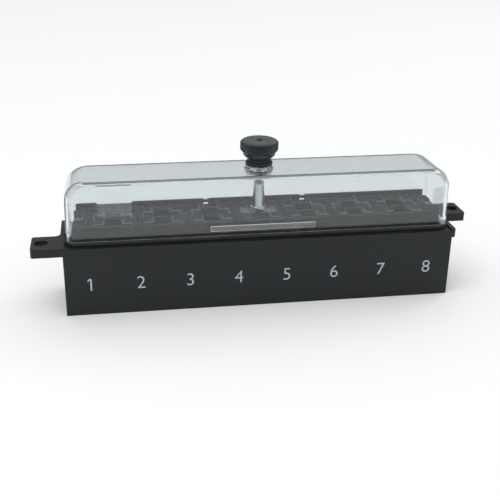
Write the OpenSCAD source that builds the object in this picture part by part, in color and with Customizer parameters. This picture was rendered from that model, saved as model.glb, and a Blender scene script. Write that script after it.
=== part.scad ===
// Fuse box for eight blade fuses: a black housing with two diagonal ears,
// a contact carrier, a clear cover and a knurled knob that clamps the cover down.
// The origin is the bottom centre of the housing, X runs along the row of fuses,
// -Y is the numbered front and +Z is up.

/* [Row of fuses] */
// Distance from one fuse to the next
way_pitch = 20; // [18:0.5:26]
// Thickness of a fuse body, along the row
fuse_thick = 5.1; // [4:0.1:6]
// Length of a fuse body, across the row
fuse_len = 19.1; // [16:0.1:19.4]
// Width of one fuse blade
blade_w = 5.25; // [4:0.05:5.6]
// Thickness of one fuse blade
blade_t = 0.65; // [0.5:0.05:1]
// Gap between the two blades of a fuse
blade_gap = 4.2; // [3.6:0.1:5]

/* [Housing] */
// Height of the ledge that the seal lies on
ledge_z = 29.3; // [27:0.1:36]
// Depth of the housing at its top
body_depth = 30.4; // [29.6:0.1:40]
// Housing length past the outer fuse positions, each end
body_end = 0.4; // [0.2:0.1:3]
// Draft of the long walls from top to bottom, each side
wall_draft = 0.5; // [0:0.1:1]
// Wall of the skirt
skirt_wall = 2.2; // [1.4:0.1:3]
// Underside of the web that the contacts pass through
web_z = 19; // [15:0.5:21]
// Thickness of the web
web_t = 2.4; // [1.6:0.1:3]
// Corner radius of the housing seen from above
body_corner_r = 0.9; // [0.4:0.1:1.5]

/* [Flange and ears] */
// Height of the flange band and the ears
flange_h = 3.6; // [2.4:0.1:5]
// Flange overhang at the two ends
flange_over_end = 1.1; // [0.5:0.1:3]
// Flange overhang at the front and back
flange_over_side = 0.3; // [0.1:0.1:1]
// Height of the end lips above the ledge
lip_h = 0.7; // [0.3:0.1:1.5]
// Reach of an ear past the flange
ear_reach = 11.2; // [9:0.1:18]
// Width of an ear, from the flange's long side
ear_w = 13.4; // [10:0.1:15]
// Corner radius of an ear
ear_corner_r = 1.2; // [0.5:0.1:3]
// Fillet between an ear and the end lip
ear_fillet_r = 2.4; // [1:0.1:4]
// Radius of the fixing hole in an ear
ear_hole_r = 2.7; // [2:0.1:3.4]
// Distance of the fixing hole from the ear's tip
ear_hole_in = 4; // [3.6:0.1:5.5]

/* [Contact carrier] */
// Height of the carrier's deck above the ledge
deck_rise = 7.3; // [6:0.1:12]
// Depth of the carrier, front to back
carrier_depth = 21.5; // [21.2:0.1:24]
// Carrier length short of the outer fuse positions, each end
carrier_end = 4.1; // [3.8:0.1:6]
// Thickness of the deck over the contact chambers
deck_roof = 1.3; // [1:0.1:2]
// Height of the rear rim above the deck
rim_h = 1.8; // [1:0.1:2.5]
// Thickness of the rear rim
rim_t = 0.8; // [0.6:0.1:1.2]
// Height of the raised fuse seats above the deck
seat_h = 0.4; // [0.2:0.1:0.8]
// Depth of the crosswise recesses between the fuses
recess_d = 0.6; // [0.4:0.1:1.2]
// Width of the bar of a recess, along the row
recess_bar_w = 7.4; // [6:0.1:9]
// Length of the bar of a recess, front to back
recess_bar_len = 16.8; // [15.6:0.1:18]
// Width of the arms of a recess, front to back
recess_arm_w = 6.2; // [5.6:0.1:7]
// Floor of the deep wells in the recesses
well_floor = 3; // [2:0.5:5]
// Rib between the two wells of a recess
well_rib = 1; // [0.8:0.1:2]

/* [Cover] */
// Height of the cover, without the knob
cover_h = 24.3; // [22.6:0.1:30]
// Wall of the cover
cover_wall = 1.2; // [1:0.1:1.3]
// Gap between the cover's long walls and the carrier's rim
cover_gap = 0.8; // [0.4:0.05:1.2]
// Gap between the cover's end walls and the carrier
cover_gap_end = 1.7; // [0.8:0.1:2]
// Lean of the end walls over the cover's height
cover_lean_end = 0.6; // [0.3:0.1:2]
// Lean of the long walls over the cover's height
cover_lean_side = 0.5; // [0.3:0.1:1.5]
// Corner radius of the cover at its foot
cover_foot_r = 4; // [3.8:0.1:5]
// Corner radius of the cover at its top
cover_head_r = 3.6; // [3:0.1:4.5]
// Radius of the edges between the top and the end walls
cover_end_r = 7.8; // [4:0.1:9]
// Radius of the edges between the top and the long walls
cover_side_r = 1.7; // [1.5:0.1:2.5]
// Radius of the boss round the screw
boss_r = 5.5; // [4:0.1:6.5]
// Height of the boss under the cover's top
boss_h = 1.5; // [1:0.1:3]
// Height of the boss above the cover's top
boss_rise = 1.3; // [0.8:0.1:2]
// Length of the bar on the front wall
bar_len = 42.8; // [20:0.1:60]
// Height of the bar
bar_h = 2.3; // [1.5:0.1:4]
// How far the bar stands out
bar_out = 0.5; // [0.3:0.1:1]
// Height of the bar above the cover's foot
bar_rise = 2.3; // [1.5:0.1:5]
// Middle of the thickened pad inside the front wall, along the row
pad_x = -59.2; // [-64:0.1:-30]
// Width of the pad
pad_w = 13.5; // [8:0.1:18]
// Height of the pad
pad_h = 13; // [8:0.1:14]
// Thickness of the pad at its top; it runs out at its foot
pad_t = 0.7; // [0.3:0.05:1]

/* [Seal] */
// Thickness of the seal under the cover
seal_t = 1.6; // [1:0.1:2.5]
// How far the seal shows past the cover's foot
seal_show = 0.35; // [0.2:0.05:0.6]

/* [Knob and screw] */
// Radius of the knurled knob
knob_r = 7.75; // [6.8:0.05:10]
// Height of the knurled band
knurl_h = 3.1; // [2.5:0.1:5]
// Number of knurls
knurls = 60; // [36:2:72]
// Depth of the knurls
knurl_d = 0.3; // [0.15:0.05:0.4]
// Radius of the neck under the knob
neck_r = 4.6; // [3.6:0.1:5.2]
// Radius of the blind hole in the knob's top
knob_hole_r = 1.25; // [0.8:0.05:2]
// Radius of the round seal under the knob
collar_r = 5.55; // [4.8:0.05:6.5]
// Height of the round seal
collar_h = 1.7; // [1.2:0.1:3]
// Radius of the screw's thread
screw_r = 1.45; // [1.2:0.05:1.5]
// Radial clearance of the screw in the pillar
screw_fit = 0.05; // [0.02:0.01:0.1]
// Length of screw inside the pillar
screw_grip = 7.6; // [5:0.1:9]
// Radius of the screw's hole in the cover
cover_hole_r = 2.2; // [1.9:0.1:2.6]
// Width across flats of the screw's moulded-in head
screw_head_af = 5.5; // [5:0.1:6]
// Height of the screw's head
screw_head_h = 2; // [1.6:0.1:2.4]

/* [Pillar] */
// Radius of the pillar at its top
pillar_top_r = 2.15; // [2.05:0.05:2.6]
// Radius of the pillar above its foot
pillar_foot_r = 2.75; // [2.4:0.05:3]
// Gap between the cover's boss and the pillar
pillar_gap = 3.3; // [0.5:0.1:4]
// Width across flats of the pillar's foot
pillar_hex_af = 6; // [5.6:0.1:7]
// Height of the pillar's foot
pillar_hex_h = 2; // [1.5:0.1:3]
// Radius of the pillar's stud
stud_r = 2; // [1.6:0.1:2.2]
// Clearance of the stud in what it passes through
stud_fit = 0.2; // [0.1:0.05:0.4]
// Width across flats of the nut
nut_af = 7; // [6.5:0.1:8]
// Height of the nut
nut_h = 3.2; // [2.5:0.1:4]
// Radius of the washer
washer_r = 4.5; // [4.2:0.1:5.5]
// Thickness of the washer
washer_t = 0.8; // [0.5:0.1:1.2]
// Thickness of the plate under the pillar
plate_t = 0.8; // [0.5:0.1:1]

/* [Contacts] */
// Width of the tab that a wire terminal is pushed on
tab_w = 6.3; // [5:0.1:6.4]
// Thickness of the tab
tab_t = 0.8; // [0.6:0.1:1]
// Length of the tab below the web
tab_len = 12; // [8:0.5:14]
// Thickness of the contact's leaves
leaf_t = 0.5; // [0.4:0.05:0.6]
// Half width of the contact's foot, along the row
leaf_out = 1.6; // [1.4:0.1:1.8]
// Clearance of a contact in its chamber
contact_fit = 0.3; // [0.2:0.05:0.5]

/* [End clips] */
// Thickness of the clip's strip
clip_t = 0.5; // [0.4:0.05:0.6]
// Width of the clip
clip_w = 5; // [4:0.1:5.2]
// Length of the clip's tongue on the deck
clip_tongue = 3; // [2:0.1:3.2]
// Length of the clip's barb under the web
clip_barb = 1.2; // [0.8:0.1:1.6]

/* [Hidden] */

ways = 8;
eps = 0.01;
fit = 0.3;
through = 200;
fine = 64;
hull_fine = 32;

row_half = ways * way_pitch / 2;
blade_y = (blade_gap + blade_w) / 2;

// Housing
body_x = row_half + body_end;
body_y = body_depth / 2;
flange_x = body_x + flange_over_end;
flange_y = body_y + flange_over_side;
flange_top = ledge_z + lip_h;
flange_z = flange_top - flange_h;
ear_x = flange_x + ear_reach;
ear_hole_x = ear_x - ear_hole_in;
ear_hole_y = flange_y - ear_w / 2;
web_top = web_z + web_t;

// Carrier
deck_z = ledge_z + deck_rise;
carrier_x = row_half - carrier_end;
carrier_y = carrier_depth / 2;
pocket_x = carrier_x + fit;
pocket_y = carrier_y + fit;
rim_top = deck_z + rim_h;
seat_top = deck_z + seat_h;
seat_web_x = fuse_thick / 2 + 0.05;
recess_bar_y = recess_bar_len / 2;
recess_arm_x = way_pitch / 2 - seat_web_x;
recess_z = deck_z - recess_d;
chamber_x = leaf_out + contact_fit;
chamber_y = blade_w / 2 + contact_fit;
chamber_top = deck_z - deck_roof;
slot_x = blade_t / 2 + 0.12;
slot_y = blade_w / 2 + 0.15;
window_w = 2.1;
window_h = 0.9;
notch_h = 0.5;
window_x = bar_len / 2 - 0.6;
carrier_r = cover_foot_r - cover_wall;

// Cover
cover_z = ledge_z + seal_t;
cover_top = cover_z + cover_h;
rim_share = (rim_top - cover_z) / cover_h;
cover_x = carrier_x + cover_gap_end + cover_wall + cover_lean_end * rim_share;
cover_y = carrier_y + cover_gap + cover_wall + cover_lean_side * rim_share;
boss_z = cover_top - cover_wall - boss_h;
boss_top = cover_top + boss_rise;
pad_z = cover_top - cover_wall - pad_h;
lip_x = cover_x + seal_show + 0.3;

// Knob, screw and pillar
collar_top = boss_top + collar_h;
knob_base_r = 6.55;
knob_cone_h = 2.7;
knob_ring_h = 1;
knurl_z = collar_top + knob_cone_h + knob_ring_h + 1.1;
knurl_top = knurl_z + knurl_h;
knob_top = knurl_top + 0.8;
screw_head_z = collar_top + knob_cone_h;
screw_top = screw_head_z + screw_head_h;
pillar_top = boss_z - pillar_gap;
plate_z = recess_z;
pillar_z = plate_z + plate_t;
pillar_shank_z = pillar_z + pillar_hex_h;
screw_z = pillar_top - screw_grip;
bore_z = screw_z - 1.2;
washer_z = web_z - washer_t;
nut_z = washer_z - nut_h;
stud_z = nut_z - 1.5;

// Contacts
leaf_base = 0.8;
leaf_top = chamber_top - 0.25;
leaf_grip = leaf_top - 2.2;
leaf_bend = web_top + leaf_base + 3;
leaf_shut = blade_t / 2 - 0.08 + leaf_t / 2;
leaf_mouth = 1.05;
tab_tip = 1.2;
tab_z = web_z - tab_len;
tab_hole_r = 0.8;

// Clips
clip_x = carrier_x - 0.05;
clip_z = recess_z;

// Shapes that repeat

module rounded_rect(half_x, half_y, r) {
    square([2 * half_x - 2 * r, 2 * half_y], center = true);
    square([2 * half_x, 2 * half_y - 2 * r], center = true);
    for (side_x = [-1, 1], side_y = [-1, 1])
        translate([side_x * (half_x - r), side_y * (half_y - r)]) circle(r, $fn = fine);
}

module block(half_x, half_y, low, high)
    translate([-half_x, -half_y, low]) cube([2 * half_x, 2 * half_y, high - low]);

module hole(r, low, high)
    translate([0, 0, low]) cylinder(r = r, h = high - low, $fn = fine);

module hexagon(across_flats, low, high)
    translate([0, 0, low]) cylinder(r = across_flats / sqrt(3), h = high - low, $fn = 6);

// Profile in X and Z, drawn along Y
module along_y(depth) rotate([90, 0, 0]) linear_extrude(depth, center = true) children();

// Profile in Y and Z, drawn along X
module along_x(length) rotate([90, 0, 90]) linear_extrude(length, center = true) children();

// The object is the same when it is turned half round, so its ends come in pairs
module both_ends() {
    children();
    rotate([0, 0, 180]) children();
}

// Housing

module skirt()
    intersection() {
        linear_extrude(flange_z + eps) rounded_rect(body_x, body_y, body_corner_r);
        along_x(through) polygon([
            [-body_y + wall_draft, 0], [body_y - wall_draft, 0],
            [body_y, flange_z + eps], [-body_y, flange_z + eps]]);
    }

module ear_outline() {
    inner_y = ear_w - flange_y;
    translate([-flange_x - ear_reach / 2, -flange_y + ear_w / 2])
        rounded_rect(ear_reach / 2, ear_w / 2, ear_corner_r);
    translate([-flange_x - ear_corner_r - eps, -flange_y])
        square([ear_corner_r + eps, ear_w]);
    difference() {
        translate([-flange_x - ear_fillet_r, inner_y - eps])
            square([ear_fillet_r, ear_fillet_r + eps]);
        translate([-flange_x - ear_fillet_r, inner_y + ear_fillet_r])
            circle(ear_fillet_r, $fn = fine);
    }
}

// Flange seen from above, with a square corner where an ear joins it
module flange_outline() {
    rounded_rect(flange_x, flange_y, body_corner_r);
    both_ends() translate([-flange_x, -flange_y]) square(2 * body_corner_r);
}

module flange() {
    translate([0, 0, flange_z]) linear_extrude(ledge_z - flange_z) flange_outline();
    both_ends() translate([0, 0, flange_z]) linear_extrude(flange_h) intersection() {
        flange_outline();
        translate([-flange_x, -flange_y]) square([flange_x - lip_x, 2 * flange_y]);
    }
}

module tab_slots()
    for (way = [1 : ways], side = [-1, 1])
        translate([way_x(way), side * blade_y, 0])
            block(tab_t / 2 + 0.2, tab_w / 2 + 0.2, web_z - eps, web_top + eps);

module housing() color([0.13, 0.14, 0.15]) difference() {
    union() {
        skirt();
        flange();
    }
    block(body_x - skirt_wall, body_y - wall_draft - skirt_wall, -eps, web_z);
    translate([0, 0, web_top]) linear_extrude(through) rounded_rect(pocket_x, pocket_y, carrier_r + fit);
    tab_slots();
    hole(stud_r + stud_fit, web_z - eps, web_top + eps);
    both_ends() translate([-clip_x + clip_t / 2, 0, 0])
        block(clip_t / 2 + 0.2, clip_w / 2 + 0.2, web_z - eps, web_top + eps);
}

// Ears, moulded on the flange at opposite corners

module ear() color([0.13, 0.14, 0.15]) difference() {
    translate([0, 0, flange_z]) linear_extrude(flange_h) ear_outline();
    translate([-ear_hole_x, -ear_hole_y, 0]) hole(ear_hole_r, flange_z - eps, flange_top + eps);
}

module ear_left() ear();

module ear_right() rotate([0, 0, 180]) ear();

// Contact carrier

// Only the arms of the two end recesses fall on the carrier
module recess_outline(gap) {
    if (gap > 0 && gap < ways)
        square([recess_bar_w, recess_bar_len], center = true);
    square([2 * recess_arm_x, recess_arm_w], center = true);
}

module recesses()
    for (gap = [0 : ways])
        translate([gap_x(gap), 0, recess_z]) linear_extrude(through) recess_outline(gap);

// Raised seats: the recesses cut them into one H for each fuse, and a web under
// each fuse runs on to the front and to the rear rim
module seats() {
    block(carrier_x, recess_bar_y, deck_z - eps, seat_top);
    for (way = [1 : ways])
        translate([way_x(way), 0, 0]) block(seat_web_x, carrier_y, deck_z - eps, seat_top);
}

module wells()
    for (gap = [1 : ways - 1])
        if (gap != ways / 2)
            translate([gap_x(gap), 0, 0]) difference() {
                block(recess_bar_w / 2 - 0.3, recess_bar_y - 0.3, web_top + well_floor, recess_z + eps);
                block(recess_bar_w, well_rib / 2, 0, through);
            }

module rear_rim()
    translate([-carrier_x, carrier_y - rim_t, deck_z - eps])
        cube([2 * carrier_x, rim_t, rim_h + eps]);

// Windows in the rear rim, each with a shallow notch over it
module rim_windows()
    for (side = [-1, 1])
        translate([side * window_x, carrier_y, 0]) {
            block(window_w / 2, rim_t + 1, deck_z, deck_z + window_h);
            block(window_w / 2, rim_t + 1, rim_top - notch_h, through);
        }

module rim_nubs()
    for (gap = [1 : ways - 1], side = [-1, 1])
        translate([gap_x(gap) + side * way_pitch / 5, carrier_y - rim_t - 0.2, 0])
            block(0.45, 0.25, deck_z - eps, deck_z + 1);

module contact_chambers()
    for (way = [1 : ways], side = [-1, 1])
        translate([way_x(way), side * blade_y, 0]) {
            block(chamber_x, chamber_y, web_top - eps, chamber_top);
            block(slot_x, slot_y, chamber_top - eps, through);
        }

module contact_carrier() color([0.16, 0.17, 0.18]) difference() {
    union() {
        translate([0, 0, web_top]) linear_extrude(deck_z - web_top)
            rounded_rect(carrier_x, carrier_y, carrier_r);
        intersection() {
            union() {
                seats();
                rear_rim();
                rim_nubs();
            }
            linear_extrude(through) rounded_rect(carrier_x, carrier_y, carrier_r);
        }
    }
    recesses();
    wells();
    contact_chambers();
    hole(stud_r + stud_fit, web_top - eps, recess_z + eps);
    rim_windows();
    both_ends() translate([-carrier_x, 0, 0])
        block(clip_t + 0.15, clip_w / 2 + 0.2, 0, through);
}

// Seal under the cover

module cover_seal() color([0.08, 0.08, 0.09]) translate([0, 0, ledge_z]) linear_extrude(seal_t)
    difference() {
        rounded_rect(cover_x + seal_show, cover_y + seal_show, cover_foot_r + seal_show);
        rounded_rect(carrier_x + fit, carrier_y + fit, carrier_r + fit);
    }

// Cover

// Block with leaning walls and round corners; inset makes the inner one
module leaning_block(inset)
    hull() for (side_x = [-1, 1], side_y = [-1, 1]) {
        foot_r = cover_foot_r - inset;
        head_r = cover_head_r - inset;
        head_x = cover_x - cover_lean_end;
        head_y = cover_y - cover_lean_side;
        translate([side_x * (cover_x - cover_foot_r), side_y * (cover_y - cover_foot_r), cover_z - inset / 2])
            cylinder(r = foot_r, h = eps, $fn = hull_fine);
        translate([side_x * (head_x - cover_head_r), side_y * (head_y - cover_head_r), cover_top - eps])
            cylinder(r = head_r, h = eps, $fn = hull_fine);
    }

// Section with a leaning wall and a round top edge, for one direction
module crowned_section(foot, lean, r, inset) {
    top = cover_top - inset;
    half = foot - inset;
    low = cover_z - inset - eps;
    angle = atan(lean / cover_h);
    edge_x = half - lean * (top - cover_z) / cover_h;
    round_x = edge_x - r * tan((90 - angle) / 2);
    polygon(concat(
        [[-half, low], [half, low]],
        [for (step = [0 : 12]) let (turn = angle + (90 - angle) * step / 12)
            [round_x + r * cos(turn), top - r + r * sin(turn)]],
        [for (step = [12 : -1 : 0]) let (turn = angle + (90 - angle) * step / 12)
            [-round_x - r * cos(turn), top - r + r * sin(turn)]]));
}

module cover_form(inset) intersection() {
    leaning_block(inset);
    along_y(through) crowned_section(cover_x, cover_lean_end, cover_end_r - inset, inset);
    along_x(through) crowned_section(cover_y, cover_lean_side, max(cover_side_r - inset, 0.4), inset);
}

module cover() color([0.86, 0.9, 0.92, 0.35]) difference() {
    union() {
        difference() {
            union() {
                cover_form(0);
                cover_bar();
            }
            cover_form(cover_wall);
        }
        hole(boss_r, boss_z, boss_top);
        cover_pad();
    }
    hole(cover_hole_r, boss_z - eps, through);
}

// Lays what stands on the front wall along the wall's lean
module on_front_wall()
    translate([0, -cover_y, cover_z]) rotate([-atan(cover_lean_side / cover_h), 0, 0]) children();

module cover_bar() on_front_wall()
    translate([-bar_len / 2, -bar_out, bar_rise])
        cube([bar_len, bar_out + cover_wall / 2, bar_h]);

// Pad inside the front wall: a wedge that is thickest under the top
module cover_pad() on_front_wall()
    translate([pad_x, 0, pad_z - cover_z]) along_x(pad_w)
        polygon([[cover_wall / 2, 0], [cover_wall - eps, 0], [cover_wall + pad_t, pad_h],
            [cover_wall + pad_t, pad_h + cover_wall / 2], [cover_wall / 2, pad_h + cover_wall / 2]]);

// Knob, its seal and the clamping screw

module knurled_outline()
    polygon([for (knurl = [0 : knurls - 1], corner = [-1 : 1])
        let (r = corner == 1 ? knob_r - knurl_d : knob_r)
        let (turn = 360 * (knurl + (corner == 1 ? 0.5 : corner == 0 ? 0.2 : -0.2)) / knurls)
        [r * cos(turn), r * sin(turn)]]);

module knob_profile()
    polygon([[0, collar_top], [neck_r, collar_top], [neck_r, collar_top + 0.7],
        [knob_base_r, collar_top + knob_cone_h], [knob_base_r, collar_top + knob_cone_h + knob_ring_h],
        [knob_r - 0.6, knurl_z - 0.6], [knob_r + eps, knurl_z], [knob_r + eps, knurl_top],
        [knob_r - 0.35, knurl_top + 0.45], [knob_r - 1.25, knob_top], [0, knob_top]]);

module thumb_knob() color([0.15, 0.16, 0.17]) difference() {
    intersection() {
        rotate_extrude($fn = 2 * fine) knob_profile();
        linear_extrude(through) knurled_outline();
    }
    hole(screw_r + 0.03, 0, screw_head_z);
    hexagon(screw_head_af, screw_head_z - eps, screw_top);
    hole(knob_hole_r, knob_top - 2, through);
}

module knob_seal() color([0.05, 0.05, 0.05]) rotate_extrude($fn = fine) difference() {
    round_r = collar_h / 2;
    union() {
        translate([collar_r - round_r, boss_top + round_r]) circle(round_r, $fn = fine);
        translate([0, boss_top]) square([collar_r - round_r, collar_h]);
    }
    translate([-through, boss_top - eps]) square([through + screw_r + fit, collar_h + 2 * eps]);
}

module clamp_screw() color([0.72, 0.73, 0.74]) {
    hole(screw_r, screw_z + 0.6, screw_head_z + eps);
    translate([0, 0, screw_z]) cylinder(r1 = screw_r - 0.5, r2 = screw_r, h = 0.6 + eps, $fn = fine);
    hexagon(screw_head_af - 0.04, screw_head_z, screw_top);
}

// Pillar and what fastens it

module pillar() color([0.75, 0.76, 0.77]) difference() {
    union() {
        translate([0, 0, pillar_shank_z - eps])
            cylinder(r1 = pillar_foot_r, r2 = pillar_top_r, h = pillar_top - pillar_shank_z + eps, $fn = fine);
        hexagon(pillar_hex_af, pillar_z, pillar_shank_z);
        hole(stud_r, stud_z, pillar_z + eps);
    }
    hole(screw_r + screw_fit, bore_z, pillar_top + eps);
}

module pillar_plate() color([0.7, 0.7, 0.68]) difference() {
    block(recess_arm_x - 0.1, recess_arm_w / 2 - 0.1, plate_z, plate_z + plate_t);
    hole(stud_r + stud_fit / 2, 0, through);
}

module pillar_washer() color([0.7, 0.71, 0.72]) difference() {
    hole(washer_r, washer_z, web_z);
    hole(stud_r + stud_fit / 2, 0, through);
}

module pillar_nut() color([0.7, 0.71, 0.72]) difference() {
    hexagon(nut_af, nut_z, washer_z);
    hole(stud_r + 0.05, 0, through);
}

// Clips that hold the carrier in the housing

module end_clip()
    color([0.7, 0.71, 0.72]) translate([-clip_x, -clip_w / 2, 0]) {
        translate([0, 0, clip_z]) cube([clip_tongue, clip_w, clip_t]);
        translate([0, 0, web_z - clip_t]) cube([clip_t, clip_w, clip_z + 2 * clip_t - web_z]);
        translate([0, 0, web_z - clip_t]) cube([clip_barb, clip_w, clip_t]);
    }

module end_clip_left() end_clip();

module end_clip_right() rotate([0, 0, 180]) end_clip();

// Contacts

// Middle line of a leaf: straight up from the foot, in to the blade and out at the mouth
function leaf_line(step) =
    let (z = web_top + leaf_base / 2 + (leaf_top - web_top - leaf_base / 2) * step / 24)
    let (x = z < leaf_bend ? leaf_out - leaf_t / 2
        : z < leaf_grip ? blend(leaf_out - leaf_t / 2, leaf_shut, (z - leaf_bend) / (leaf_grip - leaf_bend))
        : blend(leaf_shut, leaf_mouth, (z - leaf_grip) / (leaf_top - leaf_grip)))
    [x, z];

// Smooth change from a to b
function blend(a, b, share) = a + (b - a) * (1 - cos(180 * min(max(share, 0), 1))) / 2;

function way_x(way) = (way - (ways + 1) / 2) * way_pitch;

function gap_x(gap) = (gap - ways / 2) * way_pitch;

module leaf(side)
    polygon(concat(
        [for (step = [0 : 24]) let (p = leaf_line(step)) [side * (p[0] - leaf_t / 2), p[1]]],
        [for (step = [24 : -1 : 0]) let (p = leaf_line(step)) [side * (p[0] + leaf_t / 2), p[1]]]));

module contact()
    color([0.78, 0.77, 0.72]) {
        along_y(blade_w) {
            leaf(-1);
            leaf(1);
            translate([-leaf_out, web_top]) square([2 * leaf_out, leaf_base]);
        }
        along_x(tab_t) difference() {
            polygon([[-tab_w / 2 + tab_tip, tab_z], [tab_w / 2 - tab_tip, tab_z],
                [tab_w / 2, tab_z + tab_tip], [tab_w / 2, web_top - 0.1],
                [blade_w / 2, web_top + eps], [-blade_w / 2, web_top + eps],
                [-tab_w / 2, web_top - 0.1], [-tab_w / 2, tab_z + tab_tip]]);
            translate([0, tab_z + tab_len / 2 - 1.5]) circle(tab_hole_r, $fn = fine);
        }
    }

module contact_at(way, side) translate([way_x(way), side * blade_y, 0]) contact();

housing();
ear_left();
ear_right();
contact_carrier();
cover_seal();
pillar_plate();
pillar();
pillar_washer();
pillar_nut();
end_clip_left();
end_clip_right();
for (way = [1 : ways]) {
    contact_at(way, -1);
    contact_at(way, 1);
}
clamp_screw();
thumb_knob();
knob_seal();
cover();
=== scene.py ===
"""Looks of the fuse box: materials for every piece, the clear cover, the knurled knob,
the screw's thread, the printed numbers, and a plain studio round them."""

import math

import bmesh
import bpy
from mathutils import Matrix, Quaternion, Vector


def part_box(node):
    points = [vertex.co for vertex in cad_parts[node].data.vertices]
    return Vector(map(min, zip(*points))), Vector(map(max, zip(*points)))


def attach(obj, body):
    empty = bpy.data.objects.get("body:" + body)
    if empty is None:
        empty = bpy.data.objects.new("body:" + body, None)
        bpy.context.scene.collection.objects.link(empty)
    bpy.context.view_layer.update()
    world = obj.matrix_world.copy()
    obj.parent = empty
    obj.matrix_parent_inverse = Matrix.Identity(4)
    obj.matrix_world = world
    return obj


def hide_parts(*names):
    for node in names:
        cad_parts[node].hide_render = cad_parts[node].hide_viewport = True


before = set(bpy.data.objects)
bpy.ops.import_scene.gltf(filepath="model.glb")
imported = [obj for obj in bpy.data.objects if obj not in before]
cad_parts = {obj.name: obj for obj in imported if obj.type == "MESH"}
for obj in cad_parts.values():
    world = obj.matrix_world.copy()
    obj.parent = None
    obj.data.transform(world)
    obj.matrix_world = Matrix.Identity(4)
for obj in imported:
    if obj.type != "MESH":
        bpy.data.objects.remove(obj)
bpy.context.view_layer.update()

bl_info = {
    "name": "Fuse box looks",
    "version": (1, 0, 0),
    "blender": (4, 5, 0),
    "location": "3D View > Sidebar > Fuse box",
    "description": "Finishes a packed fuse box: materials, clear cover, knurled knob, numbers and studio",
    "category": "Object",
}

MM = 0.001

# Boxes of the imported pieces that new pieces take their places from
COVER_LOW, COVER_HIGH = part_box("cover")
KNOB_LOW, KNOB_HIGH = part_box("thumb_knob")
SCREW_LOW, SCREW_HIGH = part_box("clamp_screw")
CARRIER_LOW, CARRIER_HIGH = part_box("contact_carrier")


class CoverSettings(bpy.types.PropertyGroup):
    """Sizes of the clear cover"""

    wall: bpy.props.FloatProperty(
        name="Wall", description="Thickness of the cover's wall", default=1.2 * MM, unit="LENGTH")
    lean_end: bpy.props.FloatProperty(
        name="End lean", description="Lean of the end walls over the height", default=0.6 * MM, unit="LENGTH")
    lean_side: bpy.props.FloatProperty(
        name="Side lean", description="Lean of the long walls over the height", default=0.5 * MM, unit="LENGTH")
    foot_radius: bpy.props.FloatProperty(
        name="Foot corner", description="Corner radius at the foot, seen from above", default=4.0 * MM,
        unit="LENGTH")
    head_radius: bpy.props.FloatProperty(
        name="Head corner", description="Corner radius at the top, seen from above", default=3.6 * MM,
        unit="LENGTH")
    end_radius: bpy.props.FloatProperty(
        name="End edge", description="Radius between the top and the end walls", default=7.8 * MM, unit="LENGTH")
    side_radius: bpy.props.FloatProperty(
        name="Side edge", description="Radius between the top and the long walls", default=1.7 * MM,
        unit="LENGTH")
    boss_radius: bpy.props.FloatProperty(
        name="Boss", description="Radius of the boss round the screw", default=5.5 * MM, unit="LENGTH")
    boss_under: bpy.props.FloatProperty(
        name="Boss under the top", description="Height of the boss inside the cover", default=1.5 * MM,
        unit="LENGTH")
    boss_over: bpy.props.FloatProperty(
        name="Boss over the top", description="Height of the boss outside the cover", default=1.3 * MM,
        unit="LENGTH")
    hole_radius: bpy.props.FloatProperty(
        name="Hole", description="Radius of the screw's hole", default=2.2 * MM, unit="LENGTH")
    bar_length: bpy.props.FloatProperty(
        name="Bar length", description="Length of the bar on the front wall", default=42.8 * MM, unit="LENGTH")
    bar_height: bpy.props.FloatProperty(
        name="Bar height", description="Height of the bar", default=2.3 * MM, unit="LENGTH")
    bar_rise: bpy.props.FloatProperty(
        name="Bar rise", description="Height of the bar above the cover's foot", default=2.3 * MM, unit="LENGTH")
    bar_out: bpy.props.FloatProperty(
        name="Bar depth", description="How far the bar stands out", default=0.5 * MM, unit="LENGTH")
    pad_centre: bpy.props.FloatProperty(
        name="Pad place", description="Middle of the pad inside the front wall", default=-59.2 * MM,
        unit="LENGTH")
    pad_width: bpy.props.FloatProperty(
        name="Pad width", description="Width of the pad", default=13.5 * MM, unit="LENGTH")
    pad_height: bpy.props.FloatProperty(
        name="Pad height", description="Height of the pad", default=13.0 * MM, unit="LENGTH")
    pad_depth: bpy.props.FloatProperty(
        name="Pad depth", description="How far the pad stands in at its top", default=0.7 * MM, unit="LENGTH")
    tint: bpy.props.FloatVectorProperty(
        name="Tint", description="Tint of the clear plastic", default=(0.83, 0.87, 0.88), subtype="COLOR",
        size=3, min=0.0, max=1.0)


class KnobSettings(bpy.types.PropertyGroup):
    """Sizes of the knob and the screw"""

    knurls: bpy.props.IntProperty(name="Knurls", description="Number of knurls round the knob", default=60)
    knurl_depth: bpy.props.FloatProperty(
        name="Knurl depth", description="Depth of the knurls", default=0.55 * MM, unit="LENGTH")
    hole_radius: bpy.props.FloatProperty(
        name="Top hole", description="Radius of the blind hole in the knob's top", default=1.25 * MM,
        unit="LENGTH")
    screw_radius: bpy.props.FloatProperty(
        name="Screw", description="Radius of the screw over its thread", default=1.45 * MM, unit="LENGTH")
    thread_pitch: bpy.props.FloatProperty(
        name="Thread pitch", description="Pitch of the clamping screw", default=0.5 * MM, unit="LENGTH")
    thread_depth: bpy.props.FloatProperty(
        name="Thread depth", description="Depth of the clamping screw's thread", default=0.3 * MM,
        unit="LENGTH")


class PrintSettings(bpy.types.PropertyGroup):
    """Sizes and count of the printed numbers"""

    height: bpy.props.FloatProperty(
        name="Number height", description="Height of a printed number", default=5.75 * MM, unit="LENGTH")
    pitch: bpy.props.FloatProperty(
        name="Number pitch", description="Distance between two numbers", default=20.0 * MM, unit="LENGTH")
    centre: bpy.props.FloatProperty(
        name="Number centre", description="Height of the numbers' middle", default=13.7 * MM, unit="LENGTH")
    count: bpy.props.IntProperty(name="Numbers", description="How many ways are numbered", default=8)


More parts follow.
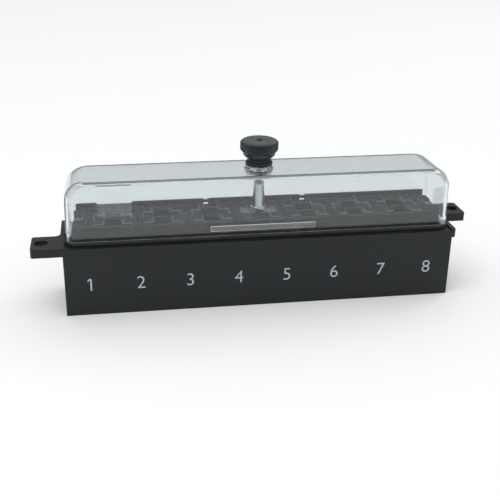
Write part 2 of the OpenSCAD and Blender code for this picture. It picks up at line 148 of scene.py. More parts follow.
def hex_colour(text):
    """Linear colour of an sRGB hex value such as 2B2F32."""
    channels = [int(text[i:i + 2], 16) / 255 for i in (0, 2, 4)]
    return [c / 12.92 if c <= 0.04045 else ((c + 0.055) / 1.055) ** 2.4 for c in channels] + [1.0]


def add_node(tree, kind, inputs=None, **settings):
    """Adds a node, sets its properties, and sets or links its inputs."""
    made = tree.nodes.new(kind)
    for name, value in settings.items():
        setattr(made, name, value)
    for name, value in (inputs or {}).items():
        if isinstance(value, bpy.types.NodeSocket):
            tree.links.new(value, made.inputs[name])
        else:
            made.inputs[name].default_value = value
    return made


def new_material(name):
    """A material with an empty tree and its Principled shader already on the output."""
    material = bpy.data.materials.new(name)
    material.use_nodes = True
    tree = material.node_tree
    tree.nodes.clear()
    shader = tree.nodes.new("ShaderNodeBsdfPrincipled")
    output = tree.nodes.new("ShaderNodeOutputMaterial")
    tree.links.new(shader.outputs["BSDF"], output.inputs["Surface"])
    return material, tree, shader


def put(material, tree, shader, links=None, **values):
    """Sets the shader's own sockets and links the patterns that vary."""
    for name, value in values.items():
        shader.inputs[name.replace("_", " ")].default_value = value
    for name, socket in (links or {}).items():
        tree.links.new(socket, shader.inputs[name])
    return material


# Materials

def moulded_nylon(name, dark, light, roughness, grain_mm=0.35, grain=0.12, ior=1.42):
    """Glass-filled nylon from a spark-eroded mould: a black that is not quite even, with a satin grain.
    The real grain is under 0.1 mm and is drawn at about 0.35 mm so that it shows in the render."""
    material, tree, shader = new_material(name)
    place = add_node(tree, "ShaderNodeTexCoord").outputs["Object"]
    # Clouds of glass fibre at the surface, 12 mm across
    cloud = add_node(tree, "ShaderNodeTexNoise",
                     {"Vector": place, "Scale": 1 / (12 * MM), "Detail": 4.0, "Roughness": 0.6})
    shade = add_node(tree, "ShaderNodeMix",
                     {"Factor": cloud.outputs["Fac"], "A": hex_colour(dark), "B": hex_colour(light)},
                     data_type="RGBA")
    # Spark-eroded grain
    fine = add_node(tree, "ShaderNodeTexNoise",
                    {"Vector": place, "Scale": 1 / (grain_mm * MM), "Detail": 3.0, "Roughness": 0.65})
    bump = add_node(tree, "ShaderNodeBump",
                    {"Height": fine.outputs["Fac"], "Strength": grain, "Distance": 0.05 * MM})
    sheen = add_node(tree, "ShaderNodeMapRange",
                     {"Value": cloud.outputs["Fac"], "From Min": 0.3, "From Max": 0.7,
                      "To Min": roughness - 0.05, "To Max": roughness + 0.05})
    return put(material, tree, shader,
               {"Base Color": shade.outputs["Result"], "Roughness": sheen.outputs["Result"],
                "Normal": bump.outputs["Normal"]}, IOR=ior)


def clear_polycarbonate(name, tint, roughness, grain_mm=9.0, grain=0.06, haze=0.0):
    """Injection-moulded clear polycarbonate, IOR 1.585: glossy with a faint ripple from the mould's polish,
    or grained where the mould is spark-eroded, which turns the boss misty."""
    material, tree, shader = new_material(name)
    place = add_node(tree, "ShaderNodeTexCoord").outputs["Object"]
    ripple = add_node(tree, "ShaderNodeTexNoise", {"Vector": place, "Scale": 1 / (grain_mm * MM), "Detail": 2.0})
    bump = add_node(tree, "ShaderNodeBump",
                    {"Height": ripple.outputs["Fac"], "Strength": grain, "Distance": 0.1 * MM})
    # Smears from handling, 25 mm across
    smear = add_node(tree, "ShaderNodeTexNoise", {"Vector": place, "Scale": 1 / (25 * MM), "Detail": 3.0})
    gloss = add_node(tree, "ShaderNodeMapRange",
                     {"Value": smear.outputs["Fac"], "From Min": 0.35, "From Max": 0.7,
                      "To Min": roughness * 0.5, "To Max": roughness * 1.5})
    return put(material, tree, shader,
               {"Normal": bump.outputs["Normal"], "Roughness": gloss.outputs["Result"]},
               Base_Color=list(tint) + [1.0], IOR=1.585, Transmission_Weight=1.0 - haze)


def soft_rubber(name, colour, roughness):
    """Moulded EPDM: matt black with a faint bloom."""
    material, tree, shader = new_material(name)
    place = add_node(tree, "ShaderNodeTexCoord").outputs["Object"]
    bloom = add_node(tree, "ShaderNodeTexNoise", {"Vector": place, "Scale": 1 / (3 * MM), "Detail": 5.0})
    shade = add_node(tree, "ShaderNodeMix",
                     {"Factor": bloom.outputs["Fac"], "A": hex_colour(colour), "B": hex_colour("2A2C2D")},
                     data_type="RGBA")
    bump = add_node(tree, "ShaderNodeBump",
                    {"Height": bloom.outputs["Fac"], "Strength": 0.08, "Distance": 0.05 * MM})
    return put(material, tree, shader,
               {"Base Color": shade.outputs["Result"], "Normal": bump.outputs["Normal"]},
               Roughness=roughness, IOR=1.5)


def turned_metal(name, colour, roughness, ring_mm):
    """Turned and plated steel: fine rings from the tool round Z, in a bright plating."""
    material, tree, shader = new_material(name)
    place = add_node(tree, "ShaderNodeTexCoord").outputs["Object"]
    rings = add_node(tree, "ShaderNodeTexWave",
                     {"Vector": place, "Scale": 0.314 / (ring_mm * MM), "Distortion": 0.6, "Detail": 1.0},
                     wave_type="BANDS", bands_direction="Z")
    bump = add_node(tree, "ShaderNodeBump",
                    {"Height": rings.outputs["Fac"], "Strength": 0.12, "Distance": 0.02 * MM})
    return put(material, tree, shader, {"Normal": bump.outputs["Normal"]},
               Base_Color=hex_colour(colour), Metallic=1.0, Roughness=roughness)


def plated_strip(name, colour, roughness, stain):
    """Stamped strip with a dull plating: faint rolling lines and a little staining."""
    material, tree, shader = new_material(name)
    place = add_node(tree, "ShaderNodeTexCoord").outputs["Object"]
    stretched = add_node(tree, "ShaderNodeMapping", {"Vector": place, "Scale": (8.0, 1.0, 1.0)})
    lines = add_node(tree, "ShaderNodeTexNoise",
                     {"Vector": stretched.outputs["Vector"], "Scale": 1 / (1.2 * MM), "Detail": 3.0})
    shade = add_node(tree, "ShaderNodeMix",
                     {"Factor": lines.outputs["Fac"], "A": hex_colour(colour), "B": hex_colour(stain)},
                     data_type="RGBA")
    bump = add_node(tree, "ShaderNodeBump",
                    {"Height": lines.outputs["Fac"], "Strength": 0.1, "Distance": 0.02 * MM})
    return put(material, tree, shader,
               {"Base Color": shade.outputs["Result"], "Normal": bump.outputs["Normal"]},
               Metallic=1.0, Roughness=roughness)


def pad_print_ink(name, colour):
    """Pad-printed two-part ink: pale grey, satin, a little thin in places."""
    material, tree, shader = new_material(name)
    place = add_node(tree, "ShaderNodeTexCoord").outputs["Object"]
    thin = add_node(tree, "ShaderNodeTexNoise", {"Vector": place, "Scale": 1 / (0.8 * MM), "Detail": 3.0})
    shade = add_node(tree, "ShaderNodeMix",
                     {"Factor": thin.outputs["Fac"], "A": hex_colour(colour), "B": hex_colour("A9B2B5")},
                     data_type="RGBA")
    return put(material, tree, shader, {"Base Color": shade.outputs["Result"]}, Roughness=0.5)


# Mesh helpers

def mark_edges(bm, angle):
    """Smooth faces, with every edge sharp that turns by more than the angle."""
    for face in bm.faces:
        face.smooth = True
    for edge in bm.edges:
        edge.smooth = len(edge.link_faces) != 2 or edge.calc_face_angle(0.0) < math.radians(angle)


def finish_piece(name, bm, body, material, slot, *nodes, smooth_angle=35):
    """Turns a bmesh into a piece that rides on a body and stands for the CAD nodes that are named."""
    mesh = bpy.data.meshes.new(name)
    bmesh.ops.recalc_face_normals(bm, faces=bm.faces)
    mark_edges(bm, smooth_angle)
    bm.to_mesh(mesh)
    bm.free()
    piece = bpy.data.objects.new(name, mesh)
    bpy.context.scene.collection.objects.link(piece)
    piece.data.materials.append(material)
    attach(piece, body)
    if nodes:
        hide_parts(*nodes)
    return piece


def merged_copy(node):
    """A bmesh of a CAD node with its loose triangles merged and its flat faces joined."""
    bm = bmesh.new()
    bm.from_mesh(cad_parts[node].data)
    bmesh.ops.remove_doubles(bm, verts=bm.verts, dist=0.002 * MM)
    bmesh.ops.dissolve_limit(bm, angle_limit=math.radians(0.4), verts=bm.verts, edges=bm.edges)
    return bm


def united(solids):
    """One closed bmesh out of several that touch or overlap."""
    parts = []
    for bm in solids:
        mesh = bpy.data.meshes.new("solid")
        bmesh.ops.recalc_face_normals(bm, faces=bm.faces)
        bm.to_mesh(mesh)
        bm.free()
        part = bpy.data.objects.new("solid", mesh)
        bpy.context.scene.collection.objects.link(part)
        parts.append(part)
    for other in parts[1:]:
        join = parts[0].modifiers.new("Join", "BOOLEAN")
        join.operation = "UNION"
        join.solver = "EXACT"
        join.object = other
    bpy.context.view_layer.update()
    graph = bpy.context.evaluated_depsgraph_get()
    whole = bpy.data.meshes.new_from_object(parts[0].evaluated_get(graph))
    bm = bmesh.new()
    bm.from_mesh(whole)
    bpy.data.meshes.remove(whole)
    for part in parts:
        mesh = part.data
        bpy.data.objects.remove(part)
        bpy.data.meshes.remove(mesh)
    bmesh.ops.remove_doubles(bm, verts=bm.verts, dist=0.002 * MM)
    return bm


def weigh_edges(bm, weight_of, angle=25):
    """Gives each sharp edge the share of the bevel's width that weight_of names for it."""
    layer = bm.edges.layers.float.new("bevel_weight_edge")
    for edge in bm.edges:
        if len(edge.link_faces) == 2 and edge.calc_face_angle(0.0) > math.radians(angle):
            edge[layer] = weight_of(edge)


def round_edges(piece, width_mm, segments=2, angle=None):
    """Bevel modifier by edge weight, or by angle where one is given."""
    bevel = piece.modifiers.new("Edges", "BEVEL")
    bevel.width = width_mm * MM
    bevel.segments = segments
    bevel.use_clamp_overlap = True
    bevel.harden_normals = True
    bevel.limit_method = "WEIGHT"
    if angle:
        bevel.limit_method = "ANGLE"
        bevel.angle_limit = math.radians(angle)
    return bevel


def stretched_ring(bm, ring, half_x, half_y, radius, z):
    """Places a ring of vertices on a rectangle with round corners; a circle has half sizes equal to its radius."""
    count = len(ring)
    for k, vert in enumerate(ring):
        turn = 2 * math.pi * (k + 0.5) / count
        side_x = 1 if math.cos(turn) > 0 else -1
        side_y = 1 if math.sin(turn) > 0 else -1
        vert.co = (side_x * (half_x - radius) + radius * math.cos(turn),
                   side_y * (half_y - radius) + radius * math.sin(turn), z)


def next_ring(bm, ring):
    """Extrudes a ring's edges and returns the new ring in the same order."""
    count = len(ring)
    edges = [bm.edges.get((ring[k], ring[(k + 1) % count])) for k in range(count)]
    made = bmesh.ops.extrude_edge_only(bm, edges=edges)["geom"]
    fresh = {v for v in made if isinstance(v, bmesh.types.BMVert)}
    return [next(e.other_vert(v) for e in v.link_edges if e.other_vert(v) in fresh) for v in ring]


def loft(bm, count, sections, closed):
    """Lofts a ring through sections of (half_x, half_y, radius, z); closed joins the last to the first."""
    ring = bmesh.ops.create_circle(bm, cap_ends=False, segments=count, radius=1.0)["verts"]
    ring.sort(key=lambda v: math.atan2(v.co.y, v.co.x) % (2 * math.pi))
    first = ring
    stretched_ring(bm, ring, *sections[0])
    for section in sections[1:]:
        ring = next_ring(bm, ring)
        stretched_ring(bm, ring, *section)
    if closed:
        edges = [bm.edges.get((r[k], r[(k + 1) % count])) for r in (first, ring) for k in range(count)]
        bmesh.ops.bridge_loops(bm, edges=edges)


def lathe(bm, count, profile, pattern=None):
    """Stacks rings of (radius, z, share): pattern(turn) draws a ring in by that share of its depth."""
    ring = bmesh.ops.create_circle(bm, cap_ends=True, segments=count, radius=1.0)["verts"]
    ring.sort(key=lambda v: math.atan2(v.co.y, v.co.x) % (2 * math.pi))
    for level, (radius, z, share) in enumerate(profile):
        if level:
            ring = next_ring(bm, ring)
        for k, vert in enumerate(ring):
            turn = 2 * math.pi * k / count
            reach = radius - (share * pattern(turn) if pattern else 0.0)
            vert.co = (reach * math.cos(turn), reach * math.sin(turn), z)
    edges = [bm.edges.get((ring[k], ring[(k + 1) % count])) for k in range(count)]
    bmesh.ops.contextual_create(bm, geom=edges)


def tidy_cad(node, width_mm, segments=2, angle=25):
    """Welds a CAD node's loose triangles, joins its flat faces and rounds its edges, as modifiers only."""
    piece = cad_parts[node]
    for polygon in piece.data.polygons:
        polygon.use_smooth = True
    weld = piece.modifiers.new("Weld", "WELD")
    weld.merge_threshold = 0.002 * MM
    flat = piece.modifiers.new("Flat faces", "DECIMATE")
    flat.decimate_type = "DISSOLVE"
    flat.angle_limit = math.radians(0.4)
    if width_mm:
        round_edges(piece, width_mm, segments, angle)
    return piece


def set_material(node, material):
    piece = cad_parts[node]
    piece.data.materials.clear()
    piece.data.materials.append(material)


class FUSEBOX_OT_housing(bpy.types.Operator):
    """The black housing with its two ears, moulded in one"""

    bl_idname = "fusebox.housing"
    bl_label = "Housing"

    def execute(self, context):
        bm = united([merged_copy(node) for node in ("housing", "ear_left", "ear_right")])
        bmesh.ops.dissolve_limit(bm, angle_limit=math.radians(0.4), verts=bm.verts, edges=bm.edges)
        nylon = moulded_nylon("Glass-filled nylon", "14181B", "1E2326", 0.5, ior=1.39)
        piece = finish_piece("housing_body", bm, "base", nylon, "housing", "housing", "ear_left", "ear_right")
        round_edges(piece, 0.25, angle=25)
        return {"FINISHED"}


class FUSEBOX_OT_carrier(bpy.types.Operator):
    """The contact carrier: soft edges on the fuse seats, finer ones elsewhere"""

    bl_idname = "fusebox.carrier"
    bl_label = "Contact carrier"

    def execute(self, context):
        bm = merged_copy("contact_carrier")
        seat_top = max(v.co.z for v in bm.verts if abs(v.co.y) < 7 * MM)
        pitch = context.scene.fusebox_print.pitch

        def weight(edge):
            low, high = sorted(v.co.z for v in edge.verts)
            middle = (edge.verts[0].co + edge.verts[1].co) / 2
            from_way = abs((middle.x / pitch) % 1.0 - 0.5) * pitch
            on_seat = low > seat_top - 0.05 * MM and high < seat_top + 0.05 * MM
            inside = abs(middle.y) < 8.6 * MM and abs(middle.x) < CARRIER_HIGH.x - 3.2 * MM
            return 1.0 if on_seat and inside and from_way > 1.2 * MM else 0.2

        # The rear rim is a little taller than in the CAD model, as read from the photograph
        for vert in bm.verts:
            if vert.co.z > seat_top + 0.8 * MM:
                vert.co.z += 0.8 * MM
        weigh_edges(bm, weight)
        nylon = moulded_nylon("Carrier nylon", "0F1316", "191E22", 0.6, ior=1.34)
        piece = finish_piece("carrier_deck", bm, "base", nylon, "carrier", "contact_carrier")
        # The bevelled edges take a paler, glossier nylon: a painted highlight along every edge
        piece.data.materials.append(moulded_nylon("Carrier nylon, painted edge highlight", "62707A", "788690", 0.38))
        bevel = round_edges(piece, 0.5)
        bevel.material = 1
        bevel.use_clamp_overlap = False
        return {"FINISHED"}


class FUSEBOX_OT_seals(bpy.types.Operator):
    """Rubber on the flat seal and the round seal"""

    bl_idname = "fusebox.seals"
    bl_label = "Seals"

    def execute(self, context):
        rubber = soft_rubber("EPDM seal", "141516", 0.6)
        for node, width in (("cover_seal", 0.2), ("knob_seal", 0.0)):
            tidy_cad(node, width)
            set_material(node, rubber)
        return {"FINISHED"}


class FUSEBOX_OT_metalwork(bpy.types.Operator):
    """Plated metals on the pillar, its fastenings, the clips and the contacts"""

    bl_idname = "fusebox.metalwork"
    bl_label = "Metalwork"

    def execute(self, context):
        tidy_cad("pillar", 0.15)
        set_material("pillar", turned_metal("Nickel-plated turned steel", "C9CDD0", 0.14, 0.2))
        zinc = turned_metal("Zinc-plated steel", "B4B9BD", 0.3, 0.3)
        for node in ("pillar_washer", "pillar_nut"):
            tidy_cad(node, 0.12)
            set_material(node, zinc)
        strip = plated_strip("Rolled spring steel", "8E9392", 0.42, "767A7A")
        for node in ("pillar_plate", "end_clip_left", "end_clip_right"):
            tidy_cad(node, 0.1)
            set_material(node, strip)
        tin = plated_strip("Tin-plated brass", "BDBCB4", 0.3, "A09D92")
        for node in sorted(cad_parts):
            if node.startswith("contact_") and node != "contact_carrier":
                tidy_cad(node, 0.06, segments=1)
                set_material(node, tin)
        return {"FINISHED"}


class FUSEBOX_OT_knob(bpy.types.Operator):
    """The knurled knob"""

    bl_idname = "fusebox.knob"
    bl_label = "Knob"

    def execute(self, context):
        settings = context.scene.fusebox_knob
        low, top, full = KNOB_LOW.z, KNOB_HIGH.z, KNOB_HIGH.x
        band_top = top - 0.8 * MM
        band_low = band_top - 3.1 * MM
        ring = band_low - 1.1 * MM

        def knurl(turn):
            """Depth of the knurl at a turn: a V groove with a rounded ridge between two grooves."""
            place = (turn * settings.knurls / (2 * math.pi)) % 1.0
            return settings.knurl_depth * abs(math.cos(math.pi * place)) ** 2

        profile = [(settings.screw_radius + 0.1 * MM, low, 0), (4.35 * MM, low, 0), (4.6 * MM, low + 0.2 * MM, 0),
                   (4.6 * MM, low + 0.7 * MM, 0), (4.75 * MM, low + 0.95 * MM, 0),
                   (6.35 * MM, low + 2.5 * MM, 0), (6.55 * MM, low + 2.75 * MM, 0),
                   (6.55 * MM, ring - 0.2 * MM, 0), (6.65 * MM, ring, 0),
                   (7.15 * MM, ring + 0.45 * MM, 0), (full - 0.3 * MM, band_low - 0.2 * MM, 0.2),
                   (full - 0.1 * MM, band_low, 0.8), (full, band_low + 0.2 * MM, 1),
                   (full, band_top - 0.2 * MM, 1), (full - 0.1 * MM, band_top, 0.8),
                   (full - 0.35 * MM, band_top + 0.3 * MM, 0.2), (full - 0.6 * MM, band_top + 0.5 * MM, 0),
                   (full - 0.95 * MM, top - 0.12 * MM, 0), (full - 1.3 * MM, top, 0),
                   (settings.hole_radius + 0.25 * MM, top, 0), (settings.hole_radius, top - 0.2 * MM, 0),
                   (settings.hole_radius, top - 1.9 * MM, 0), (settings.hole_radius - 0.3 * MM, top - 2 * MM, 0)]
        bm = bmesh.new()
        lathe(bm, 12 * settings.knurls // 2, profile, knurl)
        nylon = moulded_nylon("Knob nylon", "2A2F32", "363C3F", 0.3, grain=0.1, ior=1.5)
        finish_piece("knob_grip", bm, "knob", nylon, "knob", "thumb_knob", smooth_angle=40)
        return {"FINISHED"}


class FUSEBOX_OT_screw(bpy.types.Operator):
    """The clamping screw with its thread"""

    bl_idname = "fusebox.screw"
    bl_label = "Screw"

    def execute(self, context):
        settings = context.scene.fusebox_knob
        pitch, radius = settings.thread_pitch, settings.screw_radius
        root = radius - settings.thread_depth
        low, top = SCREW_LOW.z, KNOB_LOW.z + 0.3 * MM
        turns = int((top - low - 0.6 * MM) / pitch)
        bm = bmesh.new()
        lathe(bm, 48, [(root - 0.3 * MM, low, 0), (root + 0.01 * MM, low + 0.4 * MM, 0),
                       (root + 0.01 * MM, top, 0)])
        start = low + 0.5 * MM
        ridge = [bm.verts.new((reach, 0.0, start + pitch * share)) for reach, share in (
            (root, 0.0), (radius - 0.03 * MM, 0.42), (radius, 0.5), (radius - 0.03 * MM, 0.58), (root, 1.0))]
        edges = [bm.edges.new(pair) for pair in zip(ridge, ridge[1:])]
        bmesh.ops.spin(bm, geom=ridge + edges, cent=(0, 0, 0), axis=(0, 0, 1), angle=2 * math.pi * turns,
                       dvec=(0, 0, pitch / 36), steps=36 * turns, use_merge=False)
        bmesh.ops.remove_doubles(bm, verts=bm.verts, dist=0.002 * MM)
        zinc = turned_metal("Zinc-plated screw steel", "B9C0C4", 0.26, 0.3)
        finish_piece("screw_thread", bm, "knob", zinc, "screw", "clamp_screw", smooth_angle=30)
        return {"FINISHED"}


class FUSEBOX_OT_cover(bpy.types.Operator):
    """The clear cover: one closed shell with its screw boss, front bar and inner pad"""

    bl_idname = "fusebox.cover"
    bl_label = "Cover"

    def execute(self, context):
        settings = context.scene.fusebox_cover
        low, high = COVER_LOW.z, COVER_HIGH.z - settings.boss_over
        foot_x, foot_y = COVER_HIGH.x, COVER_HIGH.y
        height = high - low
        wall = settings.wall

        def section(z, inset):
            """Section of the outer or inner surface at a height, drawn in towards the crown."""
            share = (z - low) / height
            half = [foot_x - inset - settings.lean_end * share, foot_y - inset - settings.lean_side * share]
            corner = settings.foot_radius + (settings.head_radius - settings.foot_radius) * share - inset
            drawn = []
            for radius in (settings.end_radius - inset, max(settings.side_radius - inset, 0.6 * MM)):
                rise = max(z - (high - inset - radius), 0.0)
                drawn.append(radius - math.sqrt(max(radius * radius - rise * rise, 0.0)))
            corner = max(corner - min(drawn), 1.0 * MM)
            return half[0] - drawn[0], half[1] - drawn[1], corner, z

        def side(inset):
            arc = settings.end_radius - inset
            round_z = [high - settings.end_radius + arc * math.sin(math.radians(90 * step / 18))
                       for step in range(19)]
            straight = [low + (round_z[0] - low) * step / 4 for step in range(4)]
            return [section(z, inset) for z in straight + round_z]

        def disc(radius, z):
            return radius, radius, radius, z

        def shrunk(item, amount, z=None):
            return item[0] - amount, item[1] - amount, item[2] - amount, item[3] if z is None else z

        outer, inner = side(0.0), side(wall)
        boss, hole, lip = settings.boss_radius, settings.hole_radius, 0.25 * MM
        boss_low, boss_top, roof = high - wall - settings.boss_under, COVER_HIGH.z, high - wall
        chamfer = 0.35 * MM
        sections = [shrunk(outer[0], chamfer), shrunk(outer[0], 0, low + chamfer)] + outer[1:]
        # The flat top and roof run between rings of their own, so their normals stay upright
        sections += [shrunk(outer[-1], 0.3 * MM), disc(boss + 0.6 * MM, high)]
        sections += [disc(boss + 0.3 * MM, high), disc(boss, high + 0.3 * MM)]
        sections += [disc(boss, boss_top - lip), disc(boss - lip, boss_top)]
        sections += [disc(hole + lip, boss_top), disc(hole, boss_top - lip)]
        sections += [disc(hole, boss_low + lip), disc(hole + lip, boss_low)]
        sections += [disc(boss - lip, boss_low), disc(boss, boss_low + lip)]
        sections += [disc(boss, roof - lip), disc(boss + lip, roof), disc(boss + 2 * lip, roof)]
        sections += [shrunk(inner[-1], 0.3 * MM)] + inner[::-1]
        shell = bmesh.new()
        loft(shell, 96, sections, closed=True)

        stand = (Matrix.Translation((0, -foot_y, low))
                 @ Matrix.Rotation(-math.atan2(settings.lean_side, height), 4, "X"))
        # Bar and pad stand a hair off the wall: glass that overlaps glass would show a false edge
        hair = 0.004 * MM
        bar = bmesh.new()
        size = Matrix.Diagonal((settings.bar_length, settings.bar_out, settings.bar_height, 1.0))
        place = Matrix.Translation((0, -hair - settings.bar_out / 2, settings.bar_rise + settings.bar_height / 2))
        bmesh.ops.create_cube(bar, size=1.0, matrix=stand @ place @ size)
        rounded = bmesh.ops.bevel(bar, geom=bar.edges[:], offset=0.16 * MM, segments=1, profile=0.5,
                                  affect="EDGES", material=-1)
        # Slot 1 of the bar is a paler, hazy plastic: a painted highlight along the bar's rounded edges
        for face in rounded["faces"]:
            face.material_index = 1
        pad = bmesh.new()
        half = settings.pad_width / 2
        foot = roof - settings.pad_height - low
        reach = settings.pad_height
        back = wall + hair
        corners = [(-half, back, foot), (-half, back + 0.05 * MM, foot),
                   (-half, back + settings.pad_depth, foot + reach - 0.6 * MM),
                   (-half, back + settings.pad_depth, foot + reach - hair), (-half, back + 0.5 * MM, foot + reach - hair),
                   (-half, back, foot + reach - 0.5 * MM)]
        face = pad.faces.new([pad.verts.new(c) for c in corners])
        made = bmesh.ops.extrude_face_region(pad, geom=[face])["geom"]
        bmesh.ops.translate(pad, verts=[v for v in made if isinstance(v, bmesh.types.BMVert)],
                            vec=(2 * half, 0, 0))
        bmesh.ops.transform(pad, matrix=stand @ Matrix.Translation((settings.pad_centre, 0, 0)), verts=pad.verts)
        shell.normal_update()
        for face in shell.faces:
            middle = face.calc_center_median()
            on_boss = middle.xy.length < boss + 0.2 * MM and middle.z > boss_low + 0.01 * MM
            if on_boss:
                face.material_index = 1
            # Slot 2 is the paler, hazy plastic: a painted highlight along the foot's chamfer
            elif middle.z < low + chamfer:
                face.material_index = 2
            elif 0.2 < abs(face.normal.z) < 0.97 and abs(face.normal.y) > 0.1:
                face.material_index = 3
        clear = clear_polycarbonate("Clear polycarbonate", settings.tint, 0.03)
        piece = finish_piece("cover_shell", shell, "cover", clear, "clear", "cover", smooth_angle=50)
        misty = clear_polycarbonate("Grained polycarbonate", settings.tint, 0.2, 0.8, 0.4, haze=0.12)
        # A paler, hazy plastic that paints a highlight on the foot's chamfer and on the bar's rounded edges
        edge_highlight = clear_polycarbonate("Hazy polycarbonate, painted edge highlight", (0.9, 0.93, 0.94), 0.4, 0.5, 0.3, haze=0.75)
        thin = clear_polycarbonate("Clear polycarbonate, thin", (0.97, 0.98, 0.985), 0.03)
        dull = clear_polycarbonate("Clear polycarbonate, dull edge", settings.tint, 0.1, haze=0.22)
        for material in (misty, edge_highlight, dull):
            piece.data.materials.append(material)
        finish_piece("cover_bar", bar, "cover", thin, "clear").data.materials.append(edge_highlight)
        finish_piece("cover_pad", pad, "cover", thin, "clear")
        return {"FINISHED"}


class FUSEBOX_OT_numbers(bpy.types.Operator):
    """The numbers printed on the front"""

    bl_idname = "fusebox.numbers"
    bl_label = "Numbers"

    def execute(self, context):
        settings = context.scene.fusebox_print
        ink = pad_print_ink("Pad print ink", "C6CED1")
        lean = math.atan2(0.5, 26.4)
        for number in range(1, settings.count + 1):
            curve = bpy.data.curves.new(f"number_{number}", "FONT")
            curve.body = str(number)
            curve.size = settings.height / 0.73
            curve.extrude = 0.02 * MM
            curve.offset = -0.07 * MM
            curve.align_x = "CENTER"
            text = bpy.data.objects.new(f"number_{number}", curve)
            context.scene.collection.objects.link(text)
            context.view_layer.update()
            mesh = bpy.data.meshes.new_from_object(text)
            bpy.data.objects.remove(text)
            piece = bpy.data.objects.new(f"number_{number}", mesh)
            context.scene.collection.objects.link(piece)
            x = (number - (settings.count + 1) / 2) * settings.pitch
            half = settings.height / 2
            if number == 1:
                # The font's 1 is a bare stroke and gets its flag here
                stroke, reach = 0.3 * MM, 1.35 * MM
                bm = bmesh.new()
                bm.from_mesh(mesh)
                flag = bm.faces.new([bm.verts.new((x, settings.height * share, -0.02 * MM)) for x, share in (
                    (-stroke, 0.98), (-reach, 0.8), (-reach, 0.69), (-stroke, 0.84))])
                made = bmesh.ops.extrude_face_region(bm, geom=[flag])["geom"]
                bmesh.ops.translate(bm, verts=[v for v in made if isinstance(v, bmesh.types.BMVert)],
                                    vec=(0, 0, 0.04 * MM))
                bmesh.ops.recalc_face_normals(bm, faces=bm.faces)
                bm.to_mesh(mesh)
                bm.free()
            z = settings.centre
            y = -(14.7 + 0.5 * z / (26.4 * MM)) * MM - 0.01 * MM
            stand = Matrix.Rotation(math.radians(90) + lean, 4, "X")
            piece.data.transform(Matrix.Translation((0, -half, 0)))
            piece.data.transform(stand)
            piece.data.transform(Matrix.Translation((x, y, z)))
            piece.data.materials.append(ink)
            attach(piece, "base")
        return {"FINISHED"}


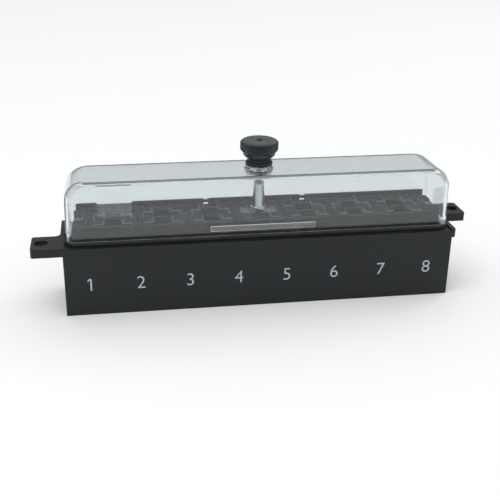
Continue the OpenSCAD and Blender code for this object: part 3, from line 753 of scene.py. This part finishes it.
class FUSEBOX_OT_stage(bpy.types.Operator):
    """Floor, lights and the camera at the photograph's angle"""

    bl_idname = "fusebox.stage"
    bl_label = "Stage"

    def execute(self, context):
        scene = context.scene
        scene.view_settings.view_transform = "Standard"
        bm = bmesh.new()
        bmesh.ops.create_grid(bm, x_segments=1, y_segments=1, size=4.0)
        mesh = bpy.data.meshes.new("floor")
        bm.to_mesh(mesh)
        bm.free()
        floor = bpy.data.objects.new("floor", mesh)
        scene.collection.objects.link(floor)
        paper, tree, shader = new_material("Pale paper")
        put(paper, tree, shader, Base_Color=hex_colour("FDFDFD"), Roughness=0.9)
        mesh.materials.append(paper)
        world = bpy.data.worlds.new("Soft studio")
        world.use_nodes = True
        tree = world.node_tree
        # A white dome overhead that fades out towards the walls; what the camera sees of it is white
        way = add_node(tree, "ShaderNodeTexCoord").outputs["Generated"]
        rise = add_node(tree, "ShaderNodeSeparateXYZ", {"Vector": way}).outputs["Z"]
        dome = add_node(tree, "ShaderNodeMapRange",
                        {"Value": rise, "From Min": 0.3, "From Max": 0.7, "To Min": 0.4, "To Max": 1.08})
        path = add_node(tree, "ShaderNodeLightPath").outputs["Is Camera Ray"]
        level = add_node(tree, "ShaderNodeMix",
                         {"Factor": path, "A": dome.outputs["Result"], "B": 1.0}, data_type="FLOAT")
        background = tree.nodes["Background"]
        background.inputs["Color"].default_value = hex_colour("FDFEFF")
        tree.links.new(level.outputs["Result"], background.inputs["Strength"])
        scene.world = world
        for name, place, target, size, power in (
                ("key", (-0.45, -0.35, 0.9), (0, 0, 0.03), 0.5, 1.6),
                ("fill", (0.9, 0.5, 0.8), (0, 0, 0.04), 0.4, 1.0)):
            data = bpy.data.lights.new(name, "AREA")
            data.size = size
            data.energy = power
            light = bpy.data.objects.new(name, data)
            light.location = place
            light.rotation_mode = "QUATERNION"
            light.rotation_quaternion = (Vector(place) - Vector(target)).to_track_quat("Z", "Y")
            scene.collection.objects.link(light)
        data = bpy.data.cameras.new("camera")
        data.sensor_width = 36.0
        data.lens = 61.06
        data.shift_x = 0.026
        data.shift_y = -0.004
        data.clip_start = 0.01
        data.clip_end = 20.0
        camera = bpy.data.objects.new("camera", data)
        azimuth, elevation, roll = (math.radians(a) for a in (-8.93, 23.24, 0.59))
        back = Vector((math.sin(azimuth) * math.cos(elevation), -math.cos(azimuth) * math.cos(elevation),
                       math.sin(elevation)))
        camera.location = Vector((-8.7 * MM, 0, 19.8 * MM)) + back * 359.3 * MM
        camera.rotation_mode = "QUATERNION"
        camera.rotation_quaternion = back.to_track_quat("Z", "Y") @ Quaternion((0, 0, 1), roll)
        scene.collection.objects.link(camera)
        scene.camera = camera
        return {"FINISHED"}


OPERATORS = (FUSEBOX_OT_stage, FUSEBOX_OT_housing, FUSEBOX_OT_carrier, FUSEBOX_OT_seals, FUSEBOX_OT_metalwork,
             FUSEBOX_OT_knob, FUSEBOX_OT_screw, FUSEBOX_OT_cover, FUSEBOX_OT_numbers)


class FUSEBOX_PT_panel(bpy.types.Panel):
    """Lists the fuse box's operators"""

    bl_idname = "FUSEBOX_PT_panel"
    bl_label = "Fuse box"
    bl_space_type = "VIEW_3D"
    bl_region_type = "UI"
    bl_category = "Fuse box"

    def draw(self, context):
        for operator in OPERATORS:
            self.layout.operator(operator.bl_idname)


GROUPS = {"fusebox_cover": CoverSettings, "fusebox_knob": KnobSettings, "fusebox_print": PrintSettings}
CLASSES = (*GROUPS.values(), *OPERATORS, FUSEBOX_PT_panel)


def register():
    for item in CLASSES:
        bpy.utils.register_class(item)
    for name, group in GROUPS.items():
        setattr(bpy.types.Scene, name, bpy.props.PointerProperty(type=group))


def unregister():
    for name in GROUPS:
        delattr(bpy.types.Scene, name)
    for item in reversed(CLASSES):
        bpy.utils.unregister_class(item)


def main():
    register()
    for operator in OPERATORS:
        family, name = operator.bl_idname.split(".")
        getattr(getattr(bpy.ops, family), name)()


if __name__ == "__main__":
    main()
